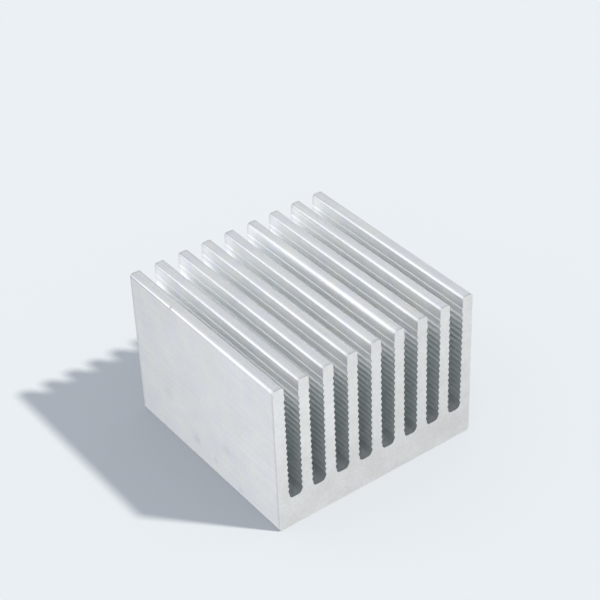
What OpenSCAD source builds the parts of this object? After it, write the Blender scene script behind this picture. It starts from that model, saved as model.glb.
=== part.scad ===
// Extruded aluminium heat sink: one length of finned profile, sawn square at both ends.
// The fins stand on a thick base and run along Y. Fine round-bottomed grooves run with
// the fins along both walls of every slot. Above the grooves each fin has a plain tip, a
// little thinner than the fin below it. The outer faces of the end fins are plain.
// The origin is at the centre of the underside of the base, with +Z up.

/* [Profile] */
// Width across the fins
profile_w = 45; // [36:0.5:60]
// Height from the underside of the base to the fin tops
profile_h = 32.2; // [24:0.1:44]
// Sawn length along the fins
cut_length = 45; // [10:0.1:300]

/* [Base] */
// Thickness of the base under the slots
base_t = 6.6; // [3:0.1:10]
// Radius along the two outer edges of the underside
base_edge_r = 0.6; // [0.1:0.1:1.5]

/* [Fins] */
// Number of fins
fin_count = 9; // [3:1:10]
// Thickness of each of the two end fins, just under its tip
end_fin_t = 2.44; // [1.8:0.02:3]
// Radius along both edges of each fin top
fin_top_r = 0.6; // [0.1:0.05:0.8]

/* [Fin tips] */
// Setback of a tip's walls from the groove crests below it
tip_setback = 0.08; // [0:0.01:0.2]
// Height of the slope from the tip's wall out to the first crest
shoulder_h = 0.3; // [0.1:0.05:0.4]
// Distance from the top of that slope down to the first groove's centre line
shoulder_to_groove = 1.55; // [1.4:0.05:2]

/* [Slots] */
// Width of a slot at the fin tops, between the planes of its groove crests
slot_top_w = 2.92; // [2.2:0.02:3.2]
// Width of a slot at its floor, which is a little less because the fins taper
slot_floor_w = 2.72; // [2:0.02:3]
// Radius where the slot floor meets its walls
slot_floor_r = 0.8; // [0.2:0.1:0.9]

/* [Grooves] */
// Distance from one groove to the next, down the wall
groove_pitch = 1.28; // [0.9:0.02:2.5]
// Depth of a groove in the wall
groove_depth = 0.21; // [0.05:0.01:0.35]
// Radius of a groove's round bottom
groove_r = 0.7; // [0.4:0.05:0.8]
// Depth of the first groove's centre line below the fin tops
first_groove = 3.4; // [3:0.1:8]
// Least height of the last groove's centre line above the slot floor
last_groove = 1.1; // [1:0.1:4]
// How much lower the grooves sit on the walls that face -X than on the walls that face +X
groove_stagger = 0.5; // [0:0.02:1.2]

/* [Hidden] */

// Straight pieces in a quarter round, and in the whole circle that cuts a groove
edge_steps = 8;
groove_facets = 32;
// How far a slot's cutter stands above the fin tops
overrun = 1;

half_w = profile_w / 2;
slot_depth = profile_h - base_t;
slot_count = fin_count - 1;
// The end fins keep their thickness, and the fins between them share what is left
slot_pitch = (profile_w - 2 * end_fin_t - slot_top_w) / (slot_count - 1);
// A thin tip limits the rounding of its edges
tip_t = slot_pitch - slot_top_w - 2 * tip_setback;
top_r = min(fin_top_r, 0.45 * tip_t);
groove_room = slot_depth - first_groove - last_groove - groove_stagger;
groove_count = 1 + max(0, floor(groove_room / groove_pitch));

// Distance from a slot's centre line to its plain wall, at a depth below the fin tops
function wall_x(depth) =
    (slot_top_w + (slot_floor_w - slot_top_w) * depth / slot_depth) / 2;

// Points of a quarter round of radius r, from one heading to another
function quarter_round(centre, r, from, to) = [
    for (i = [0 : edge_steps])
        let (heading = from + (to - from) * i / edge_steps)
            centre + r * [cos(heading), sin(heading)]
];

// A slot's right wall from above the fin top to the floor, as [distance from the centre
// line, depth]. It rolls off the fin's edge, slopes out under the tip and rolls into the floor.
function slot_wall(shoulder) =
    let (mouth_x = wall_x(0) + tip_setback + top_r)
    concat(
        [[mouth_x, -overrun]],
        quarter_round([mouth_x, top_r], top_r, 270, 180),
        [[wall_x(shoulder) + tip_setback, shoulder]],
        [[wall_x(shoulder + shoulder_h), shoulder + shoulder_h]],
        quarter_round([wall_x(slot_depth) - slot_floor_r, slot_depth - slot_floor_r],
            slot_floor_r, 0, 90)
    );

// One side of a slot, where side is 1 for its right half and -1 for its left half
module slot_side(side, groove_top) {
    wall = slot_wall(groove_top - shoulder_to_groove);
    polygon([
        for (point = concat([[0, -overrun]], wall, [[0, slot_depth]]))
            [side * point[0], profile_h - point[1]]
    ]);
    for (i = [0 : groove_count - 1]) {
        depth = groove_top + i * groove_pitch;
        translate([side * (wall_x(depth) + groove_depth - groove_r), profile_h - depth])
            circle(groove_r, $fn = groove_facets);
    }
}

module slot() {
    slot_side(-1, first_groove);
    slot_side(1, first_groove + groove_stagger);
}

// The solid outline around all the fins, with its four long edges rounded
module envelope() {
    polygon(concat(
        quarter_round([base_edge_r - half_w, base_edge_r], base_edge_r, 270, 180),
        quarter_round([top_r - half_w, profile_h - top_r], top_r, 180, 90),
        quarter_round([half_w - top_r, profile_h - top_r], top_r, 90, 0),
        quarter_round([half_w - base_edge_r, base_edge_r], base_edge_r, 0, -90)
    ));
}

module profile() {
    difference() {
        envelope();
        for (i = [0 : slot_count - 1])
            translate([(i - (slot_count - 1) / 2) * slot_pitch, 0])
                slot();
    }
}

module heat_sink() {
    color([0.84, 0.85, 0.86])
        rotate([90, 0, 0])
            linear_extrude(cut_length, center = true)
                profile();
}

heat_sink();
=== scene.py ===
import math

import bpy
from mathutils import Matrix, Vector


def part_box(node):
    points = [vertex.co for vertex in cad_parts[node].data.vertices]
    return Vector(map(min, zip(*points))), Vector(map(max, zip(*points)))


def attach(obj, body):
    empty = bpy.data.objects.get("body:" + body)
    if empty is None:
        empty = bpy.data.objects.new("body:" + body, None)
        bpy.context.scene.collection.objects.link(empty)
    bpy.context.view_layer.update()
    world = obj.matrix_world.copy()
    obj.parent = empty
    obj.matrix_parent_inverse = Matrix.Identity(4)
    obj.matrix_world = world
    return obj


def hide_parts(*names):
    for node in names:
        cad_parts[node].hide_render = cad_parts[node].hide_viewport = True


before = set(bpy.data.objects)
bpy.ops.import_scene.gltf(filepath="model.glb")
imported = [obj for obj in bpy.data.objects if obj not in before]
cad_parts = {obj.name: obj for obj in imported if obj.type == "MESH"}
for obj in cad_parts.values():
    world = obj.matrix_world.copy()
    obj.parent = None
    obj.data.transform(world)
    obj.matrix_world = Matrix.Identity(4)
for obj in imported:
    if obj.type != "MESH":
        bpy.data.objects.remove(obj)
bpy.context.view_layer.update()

# ---- The heat sink -------------------------------------------------------------------
# One length of extruded 6063 aluminium. The press leaves smooth walls with faint die
# lines, and every long edge and groove is the die's. A fine saw cuts both ends square.
MM = 0.001
low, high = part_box("heat_sink")
width, length, height = high - low

# The die's sizes, as the part's source has them but for a crisper shoulder
die_sizes = {
    "Width": width,
    "Height": height,
    "Length": length,
    "Base thickness": 6.6 * MM,
    "Underside radius": 0.6 * MM,
    "End fin thickness": 2.44 * MM,
    "Fin top radius": 0.6 * MM,
    "Extra radius of the worn edge": 0.3 * MM,
    "Tip setback": 0.08 * MM,
    "Shoulder height": 0.1 * MM,
    "Shoulder to groove": 1.47 * MM,
    "Slot width at the top": 2.92 * MM,
    "Slot width at the floor": 2.72 * MM,
    "Slot floor radius": 0.8 * MM,
    "Groove pitch": 1.28 * MM,
    "Groove depth": 0.21 * MM,
    "Groove radius": 0.7 * MM,
    "First groove": 3.4 * MM,
    "Groove stagger": 0.5 * MM,
    "Edge break": 0.03 * MM,
}
# The worn fin is counted from 0 at the left
die_counts = {"Fins": 9, "Grooves": 17, "Worn fin": 5}

WALL_POINTS = 408    # down one slot wall, over twenty to a groove
ARC_STEPS = 6        # in each rounded corner of a slot
CORNER_STEPS = 8     # in each outer corner
STATIONS = 6         # rings of points along the length


def linear(hex_colour):
    """The linear colour of an sRGB hex value such as "#d8dadc"."""
    parts = [int(hex_colour[i:i + 2], 16) / 255 for i in (1, 3, 5)]
    return (*[p / 12.92 if p <= 0.04045 else ((p + 0.055) / 1.055) ** 2.4 for p in parts], 1.0)


def add(tree, kind, inputs=(), output=0, **settings):
    """Adds a node with its settings, values and links, and gives back one of its outputs."""
    node = tree.nodes.new(kind)
    for name, value in settings.items():
        setattr(node, name, value)
    for key, value in inputs.items() if isinstance(inputs, dict) else enumerate(inputs):
        if isinstance(value, bpy.types.NodeSocket):
            tree.links.new(value, node.inputs[key])
        else:
            node.inputs[key].default_value = value
    return node.outputs[output] if node.outputs else node


# The die leaves fine lines along the metal, so its shine is drawn out across them. The skin is
# faintly clouded and rubbed, and dull at the sawn ends. Much of its tone is painted light and
# shade, with painted shade darkest down in the slots.
M = "ShaderNodeMath"
SPAN = "ShaderNodeMapRange"    # inputs: a value, the range it comes from, the range it goes to
NOISE = "ShaderNodeTexNoise"
VECTOR = "ShaderNodeVectorMath"

extruded = bpy.data.materials.new("mill_finish_extruded_aluminium")
extruded.use_nodes = True
skin = extruded.node_tree
surface = skin.nodes["Principled BSDF"].inputs
place = add(skin, "ShaderNodeTexCoord", output="Object")
in_mm = add(skin, VECTOR, {0: place, "Scale": 1000}, operation="SCALE")
x, y, z = add(skin, "ShaderNodeSeparateXYZ", (in_mm,)).node.outputs

# Die lines are a quarter of a millimetre apart and tens of millimetres long. Real ones can be
# finer, but wouldn't show. The clouds are about 7 mm across.
lines_per_mm = (4, 0.03, 4)
clouds_per_mm = 0.14
drawn = add(skin, VECTOR, (in_mm, lines_per_mm), operation="MULTIPLY")
die_lines = add(skin, NOISE, {"Vector": drawn, "Scale": 1, "Detail": 3, "Roughness": 0.6})
clouds = add(skin, NOISE, {
    "Vector": in_mm, "Scale": clouds_per_mm, "Detail": 5, "Roughness": 0.6})
patches = add(skin, SPAN, (clouds, 0.35, 0.65, 0.975, 1.02))

# The tone is how much light the skin gives back. Much of it is painted light and shade,
# standing in for shading that an even tent doesn't give. Depths are in millimetres below the
# fin tops. A slot's wall is painted paler on the grooves than on the plain tip, and painted
# paler toward the far end.
depth = add(skin, M, (height * 1000, z), operation="SUBTRACT")
along = add(skin, M, (y,), operation="ABSOLUTE")
from_end = add(skin, M, (length * 500, along), operation="SUBTRACT")
tip_ends, grooves_begin = 2.7, 3.2
tip_tone, groove_tone = 0.86, 1.06
on_wall = add(skin, SPAN, (depth, tip_ends, grooves_begin, tip_tone, groove_tone))
painted_far_end_light = add(skin, SPAN, (y, -20, 20, -0.06, 0.05))
on_wall = add(skin, M, (painted_far_end_light, on_wall), operation="ADD")

# The shoulder below the tip gets a painted highlight, and the crease below that gets painted
# shade. Both are lower on the walls that face -X.
shoulder = die_sizes["First groove"] - die_sizes["Shoulder to groove"]
shoulder += die_sizes["Shoulder height"] / 2
shoulder_facing_right = shoulder / MM
shoulder_facing_left = (shoulder + die_sizes["Groove stagger"]) / MM
painted_lip_highlight, painted_crease_shade = 0.16, -0.14
crease_below = 0.66
normal = add(skin, "ShaderNodeTexCoord", output="Normal")
faces_x = add(skin, "ShaderNodeSeparateXYZ", (normal,), 0)
lip = add(skin, SPAN, (faces_x, -0.5, 0.5, shoulder_facing_left, shoulder_facing_right))
below_lip = add(skin, M, (depth, lip), operation="SUBTRACT")
off_lip = add(skin, M, (below_lip,), operation="ABSOLUTE")
on_lip = add(skin, SPAN, (off_lip, 0.08, 0.24, 1, 0))
on_wall = add(skin, M, (on_lip, painted_lip_highlight, on_wall), operation="MULTIPLY_ADD")
off_crease = add(skin, M, (below_lip, crease_below), operation="SUBTRACT")
off_crease = add(skin, M, (off_crease,), operation="ABSOLUTE")
in_crease = add(skin, SPAN, (off_crease, 0.08, 0.26, 1, 0))
on_wall = add(skin, M, (in_crease, painted_crease_shade, on_wall), operation="MULTIPLY_ADD")

# Painted shade darkens the walls below the first grooves, the slots' floors, and the slots'
# mouths near each sawn end
mouth = 4.5
painted_deep_shade = add(skin, SPAN, (depth, 4.2, 6.5, 0, 0.17))
slot_tone = add(skin, M, (on_wall, painted_deep_shade), operation="SUBTRACT")
painted_mouth_shade = add(skin, SPAN, (from_end, 0, mouth, -0.13, 0))
slot_tone = add(skin, M, (painted_mouth_shade, slot_tone), operation="ADD")
painted_floor_shade = add(skin, SPAN, (depth, 23.5, 25.5, 0, -0.2))
slot_tone = add(skin, M, (painted_floor_shade, slot_tone), operation="ADD")

# The outer walls and the flat fin tops are more even. The fin tops take a darker tone than the
# slot walls, as painted shade, and the outer walls darken toward the far end, also painted
# shade
shaded_fin_top_tone = 0.575
off_middle = add(skin, M, (x,), operation="ABSOLUTE")
outside = add(skin, M, (off_middle, width * 500 - 0.05), operation="GREATER_THAN")
outer_tone = add(skin, SPAN, (y, -15, 20, 0.652, 0.59))
wall_tone = add(skin, SPAN, (outside, 0, 1, slot_tone, outer_tone))
top = add(skin, SPAN, (depth, 0, 0.25, 1, 0))
tone = add(skin, SPAN, (top, 0, 1, wall_tone, shaded_fin_top_tone))

# The saw drags the skin dull and rough for about a millimetre at each end. Its darker tone
# there is partly painted shade, which dims the bright reflections at the ends
ragged = add(skin, NOISE, {"Vector": in_mm, "Scale": 1.1, "Detail": 2})
ragged = add(skin, M, (ragged, 0.9, 0.35), operation="MULTIPLY_ADD")
dragged = add(skin, SPAN, (from_end, 0, ragged, 1, 0), interpolation_type="SMOOTHSTEP")

# A few rubs on the left wall and a nick in its top edge: place and radius in millimetres, and
# strength. The die lines fray their outlines.
marks = (
    ((-22.5, 12.5, 10), 2.6, 0.05),
    ((-22.5, 3.5, 4.6), 1.6, 0.08),
    ((-22.5, -2.5, 3.4), 1.2, 0.07),
    ((-22.5, -6.5, 8.5), 2.0, 0.06),
    ((-22.5, -10.5, 1.6), 1.2, 0.06),
    ((-22.3, 9, 32), 0.5, 0.4))
fray = 1.2
rubbed = None
for mark, radius, strength in marks:
    off = add(skin, VECTOR, (in_mm, mark), output="Value", operation="DISTANCE")
    off = add(skin, M, (die_lines, fray, off), operation="MULTIPLY_ADD")
    rub = add(skin, SPAN, (off, fray / 2, radius + fray / 2, strength, 0),
              interpolation_type="SMOOTHSTEP")
    rubbed = add(skin, M, (rubbed, rub), operation="MAXIMUM") if rubbed else rub

# Handling has polished the round edges of the fin tops. Painted shade darkens them toward the
# far end, which dims their highlight
off_top = add(skin, SPAN, (depth, 0.01, 0.06, 0, 1))
above_wall = add(skin, SPAN, (depth, 0.45, 0.7, 1, 0))
on_edge = add(skin, M, (off_top, above_wall), operation="MULTIPLY")
shade_toward_far_end = add(skin, SPAN, (y, -8, 20, 0, -0.2))
painted_edge_shade = add(skin, M, (on_edge, shade_toward_far_end), operation="MULTIPLY")

# The metal's grain is drawn at 0.4 mm, many times coarser than it is, so that it shows
grain_per_mm = 2.4
dulled_and_shaded_by_saw = -0.08
tone = add(skin, M, (tone, painted_edge_shade), operation="ADD")
tone = add(skin, M, (tone, patches), operation="MULTIPLY")
tone = add(skin, M, (dragged, dulled_and_shaded_by_saw, tone), operation="MULTIPLY_ADD")
speckle = add(skin, NOISE, {
    "Vector": in_mm, "Scale": grain_per_mm, "Detail": 3, "Roughness": 0.7})
speckle = add(skin, SPAN, (speckle, 0.3, 0.7, -0.035, 0.035))
tone = add(skin, M, (speckle, tone), operation="ADD")
tone = add(skin, M, (tone, rubbed), operation="SUBTRACT")
lined = add(skin, SPAN, (die_lines, 0.3, 0.7, -0.045, 0.045))
tone = add(skin, M, (lined, tone), operation="ADD")
tone = add(skin, M, (tone, 1), operation="MINIMUM")

# Oxide shifts the colour a little between cool and warm over a few millimetres, and a thicker
# oxide down the slots is a trace greener
cool, warm, oxide = linear("#eff1f4"), linear("#f4f4f0"), linear("#eef3f3")
warmth = add(skin, NOISE, {"Vector": in_mm, "Scale": 0.3, "Detail": 3})
warmth = add(skin, SPAN, (warmth, 0.35, 0.65, 0, 1))
hue = add(skin, "ShaderNodeMix", {0: warmth, 6: cool, 7: warm}, 2, data_type="RGBA")
deep = add(skin, SPAN, (depth, 3, 10, 0, 1))
inside = add(skin, M, (1, outside), operation="SUBTRACT")
deep = add(skin, M, (inside, deep), operation="MULTIPLY")
hue = add(skin, "ShaderNodeMix", {0: deep, 6: hue, 7: oxide}, 2, data_type="RGBA")
colour = add(skin, VECTOR, {0: hue, "Scale": tone}, operation="SCALE")
skin.links.new(colour, surface["Base Color"])

rougher_by_saw, smoother_by_hands = 0.12, -0.2
roughness = add(skin, SPAN, (die_lines, 0.3, 0.7, 0.48, 0.6))
roughness = add(skin, M, (dragged, rougher_by_saw, roughness), operation="MULTIPLY_ADD")
roughness = add(skin, M, (on_edge, smoother_by_hands, roughness), operation="MULTIPLY_ADD")
skin.links.new(roughness, surface["Roughness"])
along_bar = add(skin, "ShaderNodeVectorTransform", ((0, 1, 0),),
                vector_type="VECTOR", convert_from="OBJECT", convert_to="WORLD")
skin.links.new(along_bar, surface["Tangent"])
surface["Anisotropic"].default_value = 0.75
surface["Anisotropic Rotation"].default_value = 0.25    # the shine lies across the lines
surface["Metallic"].default_value = 0.7                 # the oxide scatters the rest
relief = add(skin, M, (clouds, 2, die_lines), operation="MULTIPLY_ADD")
bumps = add(skin, "ShaderNodeBump", {
    "Strength": 0.5, "Distance": 0.006 * MM, "Height": relief})
skin.links.new(bumps, surface["Normal"])

# The saw leaves close, shallow arcs and a fine sparkle of torn grain, which looks paler and
# whiter than the skin. The sawn faces are a little darker toward the bottom and a little paler
# toward the left of the base. The arcs and the grain are drawn about 0.4 mm apart, a few times
# coarser than they are.
blade_centre = (-70, 0, 130)
arcs_per_mm, torn_per_mm = 2.6, 2.2
sawn = bpy.data.materials.new("sawn_aluminium")
sawn.use_nodes = True
cut = sawn.node_tree
surface = cut.nodes["Principled BSDF"].inputs
place = add(cut, "ShaderNodeTexCoord", output="Object")
in_mm = add(cut, VECTOR, {0: place, "Scale": 1000}, operation="SCALE")
x, _, z = add(cut, "ShaderNodeSeparateXYZ", (in_mm,)).node.outputs
from_hub = add(cut, VECTOR, (in_mm, blade_centre), output="Value", operation="DISTANCE")
arcs = add(cut, NOISE, {"W": from_hub, "Scale": arcs_per_mm, "Detail": 3, "Roughness": 0.7},
           noise_dimensions="1D")
grain = add(cut, NOISE, {
    "Vector": in_mm, "Scale": torn_per_mm, "Detail": 4, "Roughness": 0.75})
clouds = add(cut, NOISE, {"Vector": in_mm, "Scale": 0.25, "Detail": 3})
tone = add(cut, SPAN, (z, 4, 22, 0.65, 0.72))
across_base = add(cut, SPAN, (x, -22.5, 5, 0.035, 0))
tone = add(cut, M, (tone, across_base), operation="ADD")
for pattern, least, most, strength in (
        (grain, 0.3, 0.7, 0.05), (arcs, 0.3, 0.7, 0.025), (clouds, 0.35, 0.65, 0.02)):
    shade = add(cut, SPAN, (pattern, least, most, -strength, strength))
    tone = add(cut, M, (shade, tone), operation="ADD")
warm, cool = linear("#f4f3ee"), linear("#f3f4f2")
hue = add(cut, "ShaderNodeMix", {0: clouds, 6: warm, 7: cool}, 2, data_type="RGBA")
colour = add(cut, VECTOR, {0: hue, "Scale": tone}, operation="SCALE")
cut.links.new(colour, surface["Base Color"])
cut.links.new(add(cut, SPAN, (arcs, 0.3, 0.7, 0.52, 0.68)), surface["Roughness"])
surface["Metallic"].default_value = 1.0
relief = add(cut, M, (grain, 0.5, arcs), operation="MULTIPLY_ADD")
bumps = add(cut, "ShaderNodeBump", {
    "Strength": 0.5, "Distance": 0.015 * MM, "Height": relief})
cut.links.new(bumps, surface["Normal"])

# The outline is one closed run of points: the slots from left to right, each down its
# left wall and up its right wall, and then the four outer corners clockwise
die = bpy.data.node_groups.new("extrusion_die", "GeometryNodeTree")
die.is_modifier = True
for name in die_sizes:
    die.interface.new_socket(name, in_out="INPUT", socket_type="NodeSocketFloat")
for name in die_counts:
    die.interface.new_socket(name, in_out="INPUT", socket_type="NodeSocketInt")
die.interface.new_socket("Geometry", in_out="OUTPUT", socket_type="NodeSocketGeometry")
sizes = die.nodes.new("NodeGroupInput").outputs
index = add(die, "GeometryNodeInputIndex")

half_slot = ARC_STEPS + WALL_POINTS + ARC_STEPS
slots = add(die, M, (sizes["Fins"], 1), operation="SUBTRACT")
comb_points = add(die, M, (slots, 2 * half_slot), operation="MULTIPLY")
slot_depth = add(die, M, (sizes["Height"], sizes["Base thickness"]), operation="SUBTRACT")
slot_number = add(die, M, (index, 2 * half_slot), operation="DIVIDE")
slot_number = add(die, M, (slot_number,), operation="FLOOR")
step = add(die, M, (index, 2 * half_slot), operation="FLOORED_MODULO")
from_middle = add(die, M, (step, half_slot - 0.5), operation="SUBTRACT")
side = add(die, M, (from_middle,), operation="SIGN")
out = add(die, M, (from_middle,), operation="ABSOLUTE")
out = add(die, M, (out, 0.5), operation="SUBTRACT")

# A slot's half outline turns out of the floor, climbs the wall and turns over the fin's edge
top_of_wall = ARC_STEPS + WALL_POINTS - 1
floor_turn = add(die, SPAN, (out, 0, ARC_STEPS, math.pi / 2, 0))
climb = add(die, SPAN, (out, ARC_STEPS, top_of_wall, 0, 1))
edge_turn = add(die, SPAN, (out, top_of_wall, half_slot - 1, 0, math.pi / 2))
floor_r, edge_r = sizes["Slot floor radius"], sizes["Fin top radius"]
right_wall = add(die, M, (side, 0), operation="GREATER_THAN")
worn_slot = add(die, M, (sizes["Worn fin"], 1), operation="SUBTRACT")
worn = add(die, M, (slot_number, worn_slot, 0.1), operation="COMPARE")
worn = add(die, M, (worn, right_wall), operation="MULTIPLY")
worn_more = sizes["Extra radius of the worn edge"]
lip_r = add(die, M, (worn, worn_more, edge_r), operation="MULTIPLY_ADD")
floor_down = add(die, M, (floor_turn,), operation="SINE")
floor_down = add(die, M, (floor_down, floor_r), operation="MULTIPLY")
edge_up = add(die, M, (edge_turn,), operation="SINE")
edge_up = add(die, M, (edge_up, lip_r), operation="MULTIPLY")
wall_foot = add(die, M, (slot_depth, floor_r), operation="SUBTRACT")
depth = add(die, SPAN, (climb, 0, 1, wall_foot, lip_r))
depth = add(die, M, (depth, floor_down), operation="ADD")
depth = add(die, M, (depth, edge_up), operation="SUBTRACT")

# Its distance from the slot's centre line is half the slot there, with the grooves' arcs
# and, above the first groove, the slope out to the thinner tip
top_w, floor_w = sizes["Slot width at the top"], sizes["Slot width at the floor"]
slot_w = add(die, SPAN, (depth, 0, slot_depth, top_w, floor_w))
stagger, groove_pitch = sizes["Groove stagger"], sizes["Groove pitch"]
first = add(die, M, (right_wall, stagger, sizes["First groove"]), operation="MULTIPLY_ADD")
turns = add(die, M, (depth, first), operation="SUBTRACT")
turns = add(die, M, (turns, groove_pitch), operation="DIVIDE")
last = add(die, M, (sizes["Grooves"], 0.5), operation="SUBTRACT")
grooved = add(die, M, (
    add(die, M, (turns, -0.5), operation="GREATER_THAN"),
    add(die, M, (turns, last), operation="LESS_THAN")), operation="MULTIPLY")
nearest = add(die, M, (turns,), operation="ROUND")
from_groove = add(die, M, (turns, nearest), operation="SUBTRACT")
from_groove = add(die, M, (from_groove, groove_pitch), operation="MULTIPLY")
groove_r = sizes["Groove radius"]
radius_2 = add(die, M, (groove_r, groove_r), operation="MULTIPLY")
off_2 = add(die, M, (from_groove, from_groove), operation="MULTIPLY")
arc = add(die, M, (radius_2, off_2), operation="SUBTRACT")
arc = add(die, M, (arc,), operation="SQRT")
sunk = add(die, M, (groove_r, sizes["Groove depth"]), operation="SUBTRACT")
hollow = add(die, M, (arc, sunk), operation="SUBTRACT")
hollow = add(die, M, (hollow, 0), operation="MAXIMUM")
hollow = add(die, M, (hollow, grooved), operation="MULTIPLY")
across = add(die, M, (slot_w, 0.5, hollow), operation="MULTIPLY_ADD")
shoulder = add(die, M, (first, sizes["Shoulder to groove"]), operation="SUBTRACT")
shoulder_foot = add(die, M, (shoulder, sizes["Shoulder height"]), operation="ADD")
set_back = add(die, SPAN, (depth, shoulder, shoulder_foot, sizes["Tip setback"], 0))
across = add(die, M, (across, set_back), operation="ADD")
floor_in = add(die, M, (floor_turn,), operation="COSINE")
floor_in = add(die, M, (1, floor_in), operation="SUBTRACT")
floor_in = add(die, M, (floor_in, floor_r), operation="MULTIPLY")
across = add(die, M, (across, floor_in), operation="SUBTRACT")
edge_out = add(die, M, (edge_turn,), operation="COSINE")
edge_out = add(die, M, (1, edge_out), operation="SUBTRACT")
across = add(die, M, (edge_out, lip_r, across), operation="MULTIPLY_ADD")

# The end fins keep their thickness, and the fins between them share what is left
last_slot = add(die, M, (slots, 1), operation="SUBTRACT")
room = add(die, M, (sizes["End fin thickness"], -2, sizes["Width"]), operation="MULTIPLY_ADD")
room = add(die, M, (room, top_w), operation="SUBTRACT")
pitch = add(die, M, (room, last_slot), operation="DIVIDE")
places_out = add(die, M, (last_slot, -0.5, slot_number), operation="MULTIPLY_ADD")
centre_line = add(die, M, (places_out, pitch), operation="MULTIPLY")
comb_x = add(die, M, (side, across, centre_line), operation="MULTIPLY_ADD")
comb_z = add(die, M, (sizes["Height"], depth), operation="SUBTRACT")

# The outer corners are quarter rounds, numbered from 0 clockwise from the top right, so 1 and
# 2 are along the underside
corner_step = add(die, M, (index, comb_points), operation="SUBTRACT")
corner_points = CORNER_STEPS + 1
corner = add(die, M, (corner_step, corner_points), operation="DIVIDE")
corner = add(die, M, (corner,), operation="FLOOR")
within = add(die, M, (corner_step, corner_points), operation="FLOORED_MODULO")
quarters = add(die, M, (within, 1 / CORNER_STEPS, corner), operation="MULTIPLY_ADD")
heading = add(die, M, (quarters, -math.pi / 2, math.pi / 2), operation="MULTIPLY_ADD")
under = add(die, M, (corner, 1.5, 0.6), operation="COMPARE")
on_right = add(die, M, (corner, 1.5), operation="LESS_THAN")
radius = add(die, SPAN, (under, 0, 1, edge_r, sizes["Underside radius"]))
half_w = add(die, M, (sizes["Width"], 0.5), operation="MULTIPLY")
reach = add(die, M, (half_w, radius), operation="SUBTRACT")
reach_left = add(die, M, (reach, -1), operation="MULTIPLY")
centre_x = add(die, SPAN, (on_right, 0, 1, reach_left, reach))
high_z = add(die, M, (sizes["Height"], radius), operation="SUBTRACT")
centre_z = add(die, SPAN, (under, 0, 1, high_z, radius))
cosine = add(die, M, (heading,), operation="COSINE")
sine = add(die, M, (heading,), operation="SINE")
corner_x = add(die, M, (cosine, radius, centre_x), operation="MULTIPLY_ADD")
corner_z = add(die, M, (sine, radius, centre_z), operation="MULTIPLY_ADD")

comb_ends = add(die, M, (comb_points, 0.5), operation="SUBTRACT")
at_corner = add(die, M, (index, comb_ends), operation="GREATER_THAN")
place = add(die, "ShaderNodeCombineXYZ", (
    add(die, SPAN, (at_corner, 0, 1, comb_x, corner_x)),
    add(die, SPAN, (at_corner, 0, 1, comb_z, corner_z)), 0))
total = add(die, M, (comb_points, 4 * corner_points), operation="ADD")
outline = add(die, "GeometryNodePoints", {"Count": total, "Position": place})
outline = add(die, "GeometryNodePointsToCurves", (outline,))
outline = add(die, "GeometryNodeSetSplineCyclic", {"Geometry": outline, "Cyclic": True})

# Each point keeps the way out of the metal, which is to the left of the way the outline runs
tangent = add(die, "GeometryNodeInputTangent")
onward_x, onward_z, _ = add(die, "ShaderNodeSeparateXYZ", (tangent,)).node.outputs
outward_x = add(die, M, (onward_z, -1), operation="MULTIPLY")
outward = add(die, "ShaderNodeCombineXYZ", (outward_x, onward_x, 0))
outline = add(die, "GeometryNodeCaptureAttribute", {"Geometry": outline})
capture = outline.node
capture.capture_items.new("VECTOR", "outward")
die.links.new(outward, capture.inputs["outward"])

# The bar is that outline at a row of stations, the last but one close to each sawn end
edge_break = sizes["Edge break"]
clear_length = add(die, M, (edge_break, -2, sizes["Length"]), operation="MULTIPLY_ADD")
along = add(die, SPAN, (index, 1, STATIONS - 2, -0.5, 0.5))
at_end = add(die, M, (
    add(die, M, (index, STATIONS - 1.5), operation="GREATER_THAN"),
    add(die, M, (index, 0.5), operation="LESS_THAN")), operation="SUBTRACT")
station = add(die, M, (along, clear_length), operation="MULTIPLY")
station = add(die, M, (at_end, edge_break, station), operation="MULTIPLY_ADD")
station = add(die, "ShaderNodeCombineXYZ", (0, 0, station))
rail = add(die, "GeometryNodePoints", {"Count": STATIONS, "Position": station})
rail = add(die, "GeometryNodePointsToCurves", (rail,))
bar = add(die, "GeometryNodeCurveToMesh", {
    "Curve": rail, "Profile Curve": outline, "Fill Caps": True})

# The saw's burr is rubbed off, which draws the outline in at both ends. The bar still stands
# along Z here, and then it is laid down along Y.
where = add(die, "GeometryNodeInputPosition")
up = add(die, "ShaderNodeSeparateXYZ", (where,), 2)
from_middle = add(die, M, (up,), operation="ABSOLUTE")
half_clear = add(die, M, (clear_length, 0.5), operation="MULTIPLY")
past_clear = add(die, M, (from_middle, half_clear), operation="SUBTRACT")
in_ring = add(die, M, (past_clear, 0.01 * MM), operation="GREATER_THAN")
drawn_in = add(die, M, (edge_break, -1), operation="MULTIPLY")
inset = add(die, VECTOR, {0: capture.outputs["outward"], "Scale": drawn_in}, operation="SCALE")
bar = add(die, "GeometryNodeSetPosition", {
    "Geometry": bar, "Selection": in_ring, "Offset": inset})
bar = add(die, "GeometryNodeTransform", {"Geometry": bar, "Rotation": (math.pi / 2, 0, 0)})

# Edges sharper than 30 degrees stay crisp, and everything else is smooth
edge_angle = add(die, "GeometryNodeInputMeshEdgeAngle")
crisp = add(die, M, (edge_angle, math.radians(30)), operation="GREATER_THAN")
bar = add(die, "GeometryNodeSetShadeSmooth", {
    "Geometry": bar, "Shade Smooth": True}, domain="FACE")
bar = add(die, "GeometryNodeSetShadeSmooth", {
    "Geometry": bar, "Selection": crisp, "Shade Smooth": False}, domain="EDGE")

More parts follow.
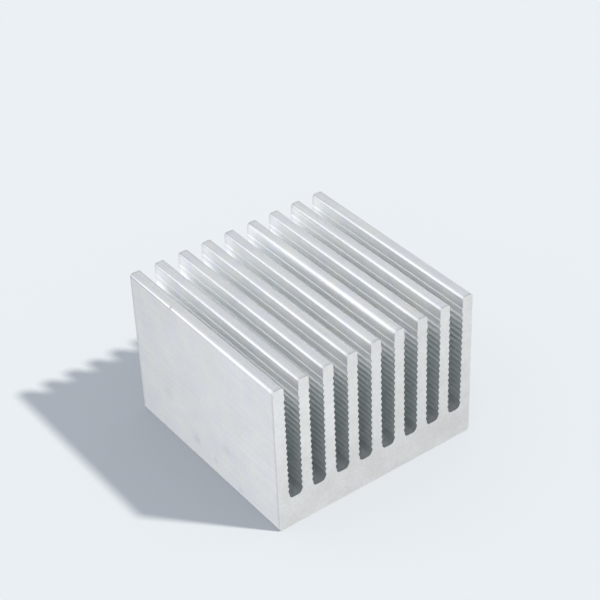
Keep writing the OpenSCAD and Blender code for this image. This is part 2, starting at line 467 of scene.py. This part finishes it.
# The two faces that look along the bar are sawn, and the rest is skin
normal = add(die, "GeometryNodeInputNormal")
faces_y = add(die, "ShaderNodeSeparateXYZ", (normal,), 1)
faces_y = add(die, M, (faces_y,), operation="ABSOLUTE")
squarely = 0.9    # more than a rubbed edge does
is_end = add(die, M, (faces_y, squarely), operation="GREATER_THAN")
bar = add(die, "GeometryNodeRealizeInstances", (bar,))
bar = add(die, "GeometryNodeSetMaterial", {"Geometry": bar, "Material": extruded})
bar = add(die, "GeometryNodeSetMaterial", {
    "Geometry": bar, "Selection": is_end, "Material": sawn})
add(die, "NodeGroupOutput", (bar,))

# The tree works on an empty object, and what comes out of it is kept as a plain mesh
press = bpy.data.objects.new("press", bpy.data.meshes.new("press"))
bpy.context.scene.collection.objects.link(press)
extrude = press.modifiers.new("extrude", "NODES")
extrude.node_group = die
for item in die.interface.items_tree:
    if item.in_out == "INPUT":
        extrude[item.identifier] = {**die_sizes, **die_counts}[item.name]
pressed = press.evaluated_get(bpy.context.evaluated_depsgraph_get())
made = bpy.data.meshes.new_from_object(pressed)
made.name = "finned_bar"
bpy.data.objects.remove(press)
finned_bar = bpy.data.objects.new("finned_bar", made)
bpy.context.scene.collection.objects.link(finned_bar)
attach(finned_bar, "root")
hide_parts("heat_sink")

# ---- The floor -----------------------------------------------------------------------
# A wide sheet of white acrylic, level with the underside. It is lit softly from beneath, so
# its surface stays pale in the shadow and the lamp adds the rest.
acrylic = bpy.data.materials.new("lit_white_acrylic")
acrylic.use_nodes = True
surface = acrylic.node_tree.nodes["Principled BSDF"].inputs
surface["Base Color"].default_value = linear("#6a6e71")
surface["Roughness"].default_value = 0.9
surface["Specular IOR Level"].default_value = 0.0
surface["Emission Color"].default_value = linear("#edf2ff")
surface["Emission Strength"].default_value = 0.242
out_to = 3    # metres from the middle to each side
sheet = bpy.data.meshes.new("floor")
sheet.from_pydata([
    (-out_to, -out_to, 0), (out_to, -out_to, 0),
    (out_to, out_to, 0), (-out_to, out_to, 0)], [], [(0, 1, 2, 3)])
sheet.materials.append(acrylic)
floor = bpy.data.objects.new("floor", sheet)
bpy.context.scene.collection.objects.link(floor)

# ---- The light -----------------------------------------------------------------------
# White light from all round, as in a light tent, with a brighter ceiling and a narrow bright
# panel low behind to the left. One lamp to the front right casts the shadow.
tent = bpy.data.worlds.new("light_tent")
tent.use_nodes = True
sky = tent.node_tree
heading = add(sky, "ShaderNodeTexCoord", output="Generated")

# Each panel is the way to its middle, the cosine of the angle from there to its rim, and the
# light that it adds to the even light all round
panels = (
    ((-0.68, 0.66, 0.32), 0.9, 0.8),        # bright, low behind to the left
    ((-0.25, 0, 0.97), 0.6, 0.6),           # the ceiling
    ((0.70, 0.70, 0.10), 0.6, -0.35),       # dimmer behind to the right
    ((-0.47, 0.66, -0.58), 0.4, -0.05))     # a little dimmer below, behind to the left
even_light = 1.3
white = (0.96, 0.985, 1.03, 1.0)            # a trace blue
light = even_light
for middle, rim, strength in panels:
    toward = add(sky, VECTOR, (heading, middle), output="Value", operation="DOT_PRODUCT")
    panel = add(sky, SPAN, (toward, rim, 1, 0, strength), interpolation_type="SMOOTHSTEP")
    light = add(sky, M, (panel, light), operation="ADD")
sky.links.new(light, sky.nodes["Background"].inputs["Strength"])
sky.nodes["Background"].inputs["Color"].default_value = white
bpy.context.scene.world = tent

lamp_data = bpy.data.lights.new("lamp", "SUN")
lamp_data.energy = 11.8
lamp_data.angle = math.radians(3.5)
lamp_data.color = (1.0, 0.94, 0.865)
lamp = bpy.data.objects.new("lamp", lamp_data)
from_lamp = Vector((-0.56, 0.61, -1))
lamp.rotation_euler = from_lamp.to_track_quat("-Z", "Y").to_euler()
bpy.context.scene.collection.objects.link(lamp)

# The lamp lights only the floor, and the metal mirrors the tent alone. Light needs many
# bounces to reach the slot floors.
lit = bpy.data.collections.new("lit_by_lamp")
lit.objects.link(floor)
lamp.light_linking.receiver_collection = lit
floor.visible_glossy = False
cycles = bpy.context.scene.cycles
cycles.max_bounces, cycles.glossy_bounces, cycles.diffuse_bounces = 24, 24, 6

# ---- The camera ----------------------------------------------------------------------
# Far enough off for a long lens, looking down over the front left corner. Its place, turn and
# lens follow from the perspective of the part's straight edges.
lens = bpy.data.cameras.new("camera")
lens.lens = 101.403
lens.sensor_width = 36
camera = bpy.data.objects.new("camera", lens)
stand = (-0.14630, -0.20546, 0.21258)
azimuth, elevation, roll = math.radians(-35.468), math.radians(36.130), math.radians(-2.384)
camera.matrix_world = (
    Matrix.Translation(stand)
    @ Matrix.Rotation(azimuth, 4, "Z")
    @ Matrix.Rotation(math.pi / 2 - elevation, 4, "X")
    @ Matrix.Rotation(roll, 4, "Z"))
bpy.context.scene.collection.objects.link(camera)
bpy.context.scene.camera = camera
bpy.context.scene.view_settings.view_transform = "Standard"
